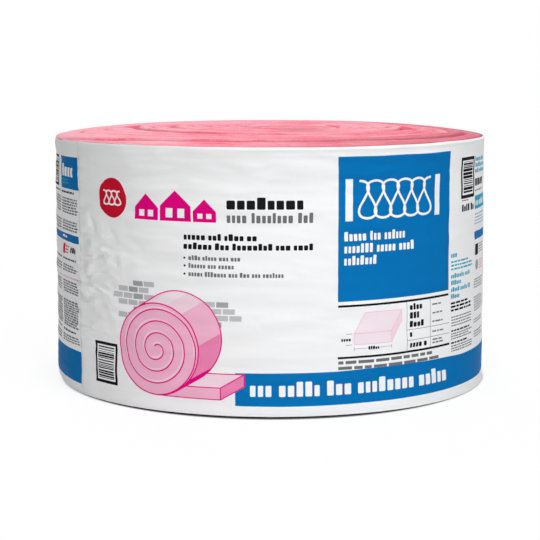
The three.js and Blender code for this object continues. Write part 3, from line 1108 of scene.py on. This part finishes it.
def dents(film, along, height):
    """How far the film lies outside a true cylinder."""
    angle = along / film.radius
    place = round_the_roll(film.radius, angle, height)
    girth = FULL_TURN * film.radius
    from_lap = (along - film.lap_edge) % girth
    near_lap = bell(from_lap / PULL_PAST_LAP) + bell((girth - from_lap) / PULL_BEFORE_LAP)
    # broad swells, and bands and smears that run round the roll
    swell, bands = noises(place, SWELL), noises(place, BANDS)
    bent = 0.008 * np.stack([bands, bands, swell], -1) / MM
    smears = noises(place + bent, LONG_SMEARS) + noises(place, SHORT_SMEARS)
    # they are weaker low down and on the right
    smears *= 0.35 + 0.65 * smooth_step(height, 0.22, 0.34)
    smears *= 1 - 0.7 * smooth_step(np.sin(angle), 0.6, 0.85)
    # sharp folds and crumples where the lap pulls
    folds = noise_at(place + bent, FOLD_SPACING, 13)
    crumples = noise_at(place + 2 * bent, CRUMPLE_SPACING, 15)
    puckers = near_lap * (FOLD_HIGH * (0.3 - np.abs(folds)) + CRUMPLE_HIGH * crumples)
    puckers *= np.sin(np.pi * np.clip(0.06 + 0.9 * height / BLANKET_WIDTH, 0, 1))
    puckers *= 0.35 + 0.65 * smooth_step(height, 0.07, 0.13)
    from_patch = round_off(along - PATCH_ALONG, girth)
    patch = bell(from_patch / PATCH_WIDE, (height - PATCH_HEIGHT) / PATCH_TALL)
    wrinkles = noise_at(place + 2 * bent, WRINKLE_SPACING, 18)
    puckers += patch * (1.0 * MM + WRINKLE_HIGH * (0.28 - np.abs(wrinkles)))
    creased = CREASE_HIGH * crease_heights(along / MM, height / MM, girth / MM)
    ends = bell((height - BLANKET_WIDTH) / CALM_EDGE) + bell(height / CALM_EDGE)
    calm = 1 - 0.5 * smooth_step(np.sin(angle), 0.35, 0.6)
    total = film.slack * (calm * (swell + bands) + smears + puckers + creased) * (1 - 0.6 * ends)
    deepest = SIDE_SLACK - film.thickness
    return np.where(total < 0, -deepest * np.tanh(-total / deepest), total)


def gathered(angle, below):
    """How far the film is drawn round towards the front, at the upper edge on the right."""
    on_right = smooth_step(angle, 0.6, 1.0) * smooth_step(-angle, -2.6, -1.8)
    in_front = smooth_step(angle, 0.08, 0.25) * smooth_step(-angle, -1.0, -0.7)
    pulled = 3.2 * on_right * fading(below, 70 * MM, 1.5)
    return MM * (pulled + 4.0 * in_front * fading(below, 60 * MM, 1.5))


def film_curl(angle, below):
    """How far the film's edge rolls inwards over a slight bead, most on the right."""
    amount = 0.35 + 0.65 * smooth_step(np.sin(angle), -0.35, 0.35)
    rolled = 2.6 * fading(below, FILM_CURL_REACH, 2)
    bead = 0.9 * bell((below - FILM_CURL_REACH) / (2.0 * MM))
    return amount * (rolled - bead) * MM


def film_places(film, along, height):
    """Where points of the flat film lie once it is round the roll."""
    below = FILM_HIGH.z - height
    end_of_single = film.lap_edge + FULL_TURN * film.radius - film.lap
    over = smooth_step(along, end_of_single - LAP_RAMP, end_of_single)
    radius = film.radius + dents(film, along, height) + LAP_RISE * over
    angle = along / film.radius - gathered(along / film.radius, below) / film.radius
    front = np.clip(np.cos(angle), 0, 1) ** 2
    left = np.clip(-np.sin(angle), 0, 1)
    radius += flare(angle - math.pi / 2, below) - film_curl(angle, below)
    # the foot turns in, most on the left, and swells out on the right of the front
    foot_curl = (0.3 + 0.3 * front + 4.0 * left**2) * MM
    radius -= foot_curl * fading(height - FILM_LOW.z, FOOT_CURL_REACH, 2)
    radius -= 1.2 * MM * np.sin(angle) ** 6 * smooth_step(height, 0.26, 0.32)
    right_front = bell((angle - FOOT_BULGE_ANGLE) / 0.55)
    radius += FOOT_BULGE * right_front * fading(height, 0.25, 1.5)
    # neither edge of the sleeve is level
    at_foot = smooth_step(-height, -0.02, -FILM_LOW.z)
    directions = np.stack([np.sin(angle), np.cos(angle), 0 * angle], -1)
    drop = rim_drop(angle - math.pi / 2) + 0.5 * MM * noise_at(directions, 0.12, 17)
    foot_drop = (1.7 - 1.9 * front - 1.0 * left) * MM
    height = height - drop * smooth_step(height, 0.30, BLANKET_WIDTH) - foot_drop * at_foot
    return round_the_roll(radius, angle, height)


def film_normals(film, along, height):
    """Where points of the film lie, and which way it faces there."""
    step = 0.5 * MM
    place = film_places(film, along, height)
    beside = film_places(film, along + step, height)
    above = film_places(film, along, height + step)
    normals = np.cross(beside - place, above - place)
    return place, normals / np.linalg.norm(normals, axis=1)[:, None]


def densified(points, longest):
    """The same closed outline, with its sides cut up so that none is long."""
    fine = []
    for start, end in zip(points, points[1:] + points[:1]):
        reach = max(abs(end[0] - start[0]), 0.6 * abs(end[1] - start[1]))
        fine += split(start, end, max(1, math.ceil(reach / longest)))
    return fine


# How much coarser than its finest the film's mesh is, up to each place along the sleeve in mm.
MESH_BANDS = ((-332, 2.8), (-130, 1.0), (310, 1.6), (480, 2.4), (1560, 3.6))
LAST_BAND_COARSER = 2.4


def cut_film(film, sheet):
    """The flat film, in mm, cut into triangles along the edges of the inks."""
    finest = film.mesh_size / MM
    start = (film.lap_edge - film.lap) / MM
    end = film.lap_edge / MM + FULL_TURN * film.radius / MM
    low, high = FILM_LOW.z / MM, FILM_HIGH.z / MM
    points = []
    for reach_to, coarser in (*MESH_BANDS, (end, LAST_BAND_COARSER)):
        pitch = finest * coarser
        columns = math.ceil((reach_to - start) / pitch)
        rows = round((high - low) / pitch)
        levels = [low + (high - low) * j / rows for j in range(rows + 1)]
        levels += [high - below for below in LIP_ROWS if below < 0.7 * pitch]
        for i in range(columns + 1 if reach_to == end else columns):
            points += [(start + (reach_to - start) * i / columns, level) for level in levels]
        start = reach_to
    faces = []
    for outline in sheet.outlines:
        outline = densified(outline, 2 * finest)
        faces.append(list(range(len(points), len(points) + len(outline))))
        points += outline
    made = delaunay_2d_cdt([Vector(p) for p in points], [], faces, 0, 1e-3)
    flat = np.array([tuple(p) for p in made[0]])
    inks = ["film"] + sorted(INK_COLOURS)
    of_face = [inks.index(sheet.inks[max(sources)]) if sources else 0 for sources in made[5]]
    return flat, np.array(made[2]), of_face, inks


def build_film(film, settings):
    sheet = Sheet(seed=7)
    lay_out(sheet, FULL_TURN * film.radius / MM)
    flat, triangles, of_face, inks = cut_film(film, sheet)
    outside, normals = film_normals(film, flat[:, 0] * MM, flat[:, 1] * MM)
    inside = outside - normals * film.thickness
    count = len(flat)
    faces = [tuple(t) for t in triangles] + [tuple(t[::-1] + count) for t in triangles]
    rims = {}
    for a, b, c in triangles:
        for edge in ((a, b), (b, c), (c, a)):
            if not rims.pop(edge[::-1], False):
                rims[edge] = True
    faces += [(b, a, a + count, b + count) for a, b in rims]
    piece = new_object("printed_film", np.concatenate([outside, inside]).tolist(), faces)
    mesh = piece.data
    for ink in inks:
        mesh.materials.append(ink_material(ink, film, settings))
    materials = of_face + [0] * (len(faces) - len(of_face))
    mesh.polygons.foreach_set("material_index", materials)
    mesh.shade_smooth()
    mesh.normals_split_custom_set_from_vertices(np.concatenate([normals, -normals]).tolist())
    mesh.update()
    return piece


def ink_material(ink, film, settings):
    bare = ink == "film"
    finish = Material("bare_film" if bare else f"{ink}_ink")
    place = finish.add("ShaderNodeTexCoord").outputs["Object"]
    soft = finish.noise(finish.stretch(place, (22.0, 22.0, 60.0)), Scale=1.0, Detail=3)
    crinkle = finish.noise(place, Scale=130.0, Detail=4, Roughness=0.6, Distortion=0.8)
    smoothest, roughest = (0.42, 0.54) if bare else (0.38, 0.5)
    finish.set(
        Base_Color=(*(film.base if bare else getattr(settings, ink)), 1),
        Roughness=finish.remap(crinkle, 0.3, 0.7, smoothest, roughest),
        Specular_IOR_Level=0.12 if bare else 0.006,
        Normal=finish.bump(finish.weighted((soft, 1.0), (crinkle, 0.25)), 0.0012, 0.35),
    )
    return finish.material


# ---- the stage

SENSOR_WIDTH = 36
LAMP_SIZE = 1.6
# Each lamp's place, and the height on the roll's axis that it is turned to
LAMPS = {
    "high": ((0.45, -1.43, 3.0), 0.2),
    "low": ((0.7, -3.05, 0.9), 0.2),
    "back": ((-0.5, 1.9, 2.4), 0.25),
}
FLOOR_RADIUS = 7.0
FLOOR_COLOUR = (0.94, 0.94, 0.94, 1)
# The floor's colour is darkened in an oval round the roll's foot, a painted contact shadow; it is
# darkest where they touch.
FOOT_OVAL, FOOT_OVAL_SHIFT = (1.02, 0.988, 1), (-0.005, 0, 0)
CONTACT_START, CONTACT_END, CONTACT_LIGHT = 0.334, 0.342, 0.1
# Share of plain white in the floor, from the start of its glow (0) to the end (1), off the axis
GLOW_START, GLOW_END = 0.30, 1.30
FLOOR_GLOW = ((0.0, 0.0), (0.034, 0.0), (0.041, 0.86), (0.1, 0.95), (1.0, 1.0))


def add_camera(scene, stage):
    data = bpy.data.cameras.new("camera")
    data.lens = stage.lens
    data.sensor_width = SENSOR_WIDTH
    camera = bpy.data.objects.new("camera", data)
    camera.location = (0, -stage.distance, stage.eye_level)
    camera.rotation_euler = (math.pi / 2 - stage.pitch, 0, 0)
    scene.collection.objects.link(camera)
    scene.camera = camera


def add_lamp(scene, name, power):
    """A soft round lamp, turned towards the roll's axis."""
    place, aim = LAMPS[name]
    data = bpy.data.lights.new(name, "AREA")
    data.shape = "DISK"
    data.size = LAMP_SIZE
    data.energy = power
    lamp = bpy.data.objects.new(name, data)
    lamp.location = place
    lamp.rotation_euler = (Vector((0, 0, aim)) - Vector(place)).to_track_quat("-Z", "Y").to_euler()
    scene.collection.objects.link(lamp)


def white_share(nodes):
    """1 for rays that show the background, straight or in a reflection, and 0 for light."""
    path = nodes.add("ShaderNodeLightPath").outputs
    direct = nodes.math("MAXIMUM", path["Is Camera Ray"], path["Is Glossy Ray"])
    return nodes.math("MAXIMUM", direct, path["Is Transmission Ray"])


def add_world(scene, stage):
    world = bpy.data.worlds.new("studio")
    world.use_nodes = True
    nodes = Nodes(world.node_tree)
    back = world.node_tree.nodes["Background"]
    nodes.plug((1, 1, 1, 1), back.inputs["Color"])
    nodes.plug(nodes.remap(white_share(nodes), 0.0, 1.0, stage.ambient), back.inputs["Strength"])
    scene.world = world


def floor_material():
    """Matt for the light; what the camera sees fades to plain white, away from the roll, and is darkened
    at the roll's foot as a painted contact shadow.
    """
    material = bpy.data.materials.new("pale_floor")
    material.use_nodes = True
    material.node_tree.nodes.clear()
    nodes = Nodes(material.node_tree)
    place = nodes.add("ShaderNodeTexCoord").outputs["Object"]
    oval = nodes.vector_math("MULTIPLY_ADD", place, FOOT_OVAL, FOOT_OVAL_SHIFT).outputs["Vector"]
    distance = nodes.vector_math("LENGTH", oval).outputs["Value"]
    # painted contact shadow: the floor's colour darkens towards the roll's foot
    contact = nodes.remap(distance, CONTACT_START, CONTACT_END, CONTACT_LIGHT)
    shaded = nodes.add("ShaderNodeBsdfDiffuse", {"Color": contact}).outputs["BSDF"]
    glow = nodes.add("ShaderNodeEmission").outputs["Emission"]
    fade = nodes.add("ShaderNodeValToRGB", {"Fac": nodes.remap(distance, GLOW_START, GLOW_END)})
    stops = fade.color_ramp.elements
    stops[0].position, stops[1].position = FLOOR_GLOW[0][0], FLOOR_GLOW[-1][0]
    for position, _ in FLOOR_GLOW[1:-1]:
        stops.new(position)
    for stop, (_, white) in zip(stops, FLOOR_GLOW):
        stop.color = (white, white, white, 1)
    seen = nodes.add("ShaderNodeMixShader", {0: fade.outputs["Color"], 1: shaded, 2: glow})
    matt = nodes.add("ShaderNodeBsdfDiffuse", {"Color": FLOOR_COLOUR}).outputs["BSDF"]
    floor = nodes.add("ShaderNodeMixShader", {0: white_share(nodes), 1: matt, 2: seen.outputs[0]})
    nodes.add("ShaderNodeOutputMaterial", {"Surface": floor.outputs[0]})
    return material


def add_floor():
    bpy.ops.mesh.primitive_circle_add(vertices=96, radius=FLOOR_RADIUS, fill_type="TRIFAN")
    floor = bpy.context.object
    floor.name = "floor"
    floor.data.materials.append(floor_material())


# ---- operators


class ROLL_OT_stage(bpy.types.Operator):
    """Sets the floor, the light and the camera"""

    bl_idname = "roll.stage"
    bl_label = "Stage"

    def execute(self, context):
        scene, stage = context.scene, context.scene.roll_stage
        scene.view_settings.view_transform = "Standard"
        add_camera(scene, stage)
        add_world(scene, stage)
        add_floor()
        add_lamp(scene, "high", stage.key_power)
        add_lamp(scene, "low", stage.fill_power)
        add_lamp(scene, "back", stage.back_power)
        return {"FINISHED"}


class ROLL_OT_wool(bpy.types.Operator):
    """Winds the glass wool and finishes its two ends"""

    bl_idname = "roll.wool"
    bl_label = "Wool"

    def execute(self, context):
        wool = context.scene.roll_wool
        piece = build_wool(wool)
        piece.data.materials.append(wool_material(wool))
        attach(piece, "root")
        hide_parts("wool_roll")
        return {"FINISHED"}


class ROLL_OT_film(bpy.types.Operator):
    """Prints the film and wraps it round the wool"""

    bl_idname = "roll.film"
    bl_label = "Film"

    def execute(self, context):
        film = context.scene.roll_film
        piece = build_film(film, context.scene.roll_print)
        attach(piece, "root")
        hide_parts("film_sleeve")
        return {"FINISHED"}


class ROLL_PT_panel(bpy.types.Panel):
    """Everything the roll is made of"""

    bl_idname = "ROLL_PT_panel"
    bl_label = "Insulation Roll"
    bl_space_type = "VIEW_3D"
    bl_region_type = "UI"
    bl_category = "Roll"

    def draw(self, context):
        for group, operator in (
            ("roll_stage", "roll.stage"),
            ("roll_wool", "roll.wool"),
            ("roll_film", "roll.film"),
            ("roll_print", "roll.film"),
        ):
            box = self.layout.box()
            settings = getattr(context.scene, group)
            for name in settings.__annotations__:
                box.prop(settings, name)
            box.operator(operator)


GROUPS = {
    "roll_wool": WoolSettings,
    "roll_film": FilmSettings,
    "roll_print": PrintSettings,
    "roll_stage": StageSettings,
}
CLASSES = (*GROUPS.values(), ROLL_OT_stage, ROLL_OT_wool, ROLL_OT_film, ROLL_PT_panel)


def register():
    for each in CLASSES:
        bpy.utils.register_class(each)
    for name, group in GROUPS.items():
        setattr(bpy.types.Scene, name, bpy.props.PointerProperty(type=group))


def unregister():
    for name in GROUPS:
        delattr(bpy.types.Scene, name)
    for each in reversed(CLASSES):
        bpy.utils.unregister_class(each)


def main():
    register()
    bpy.ops.roll.stage()
    bpy.ops.roll.wool()
    bpy.ops.roll.film()


if __name__ == "__main__":
    main()
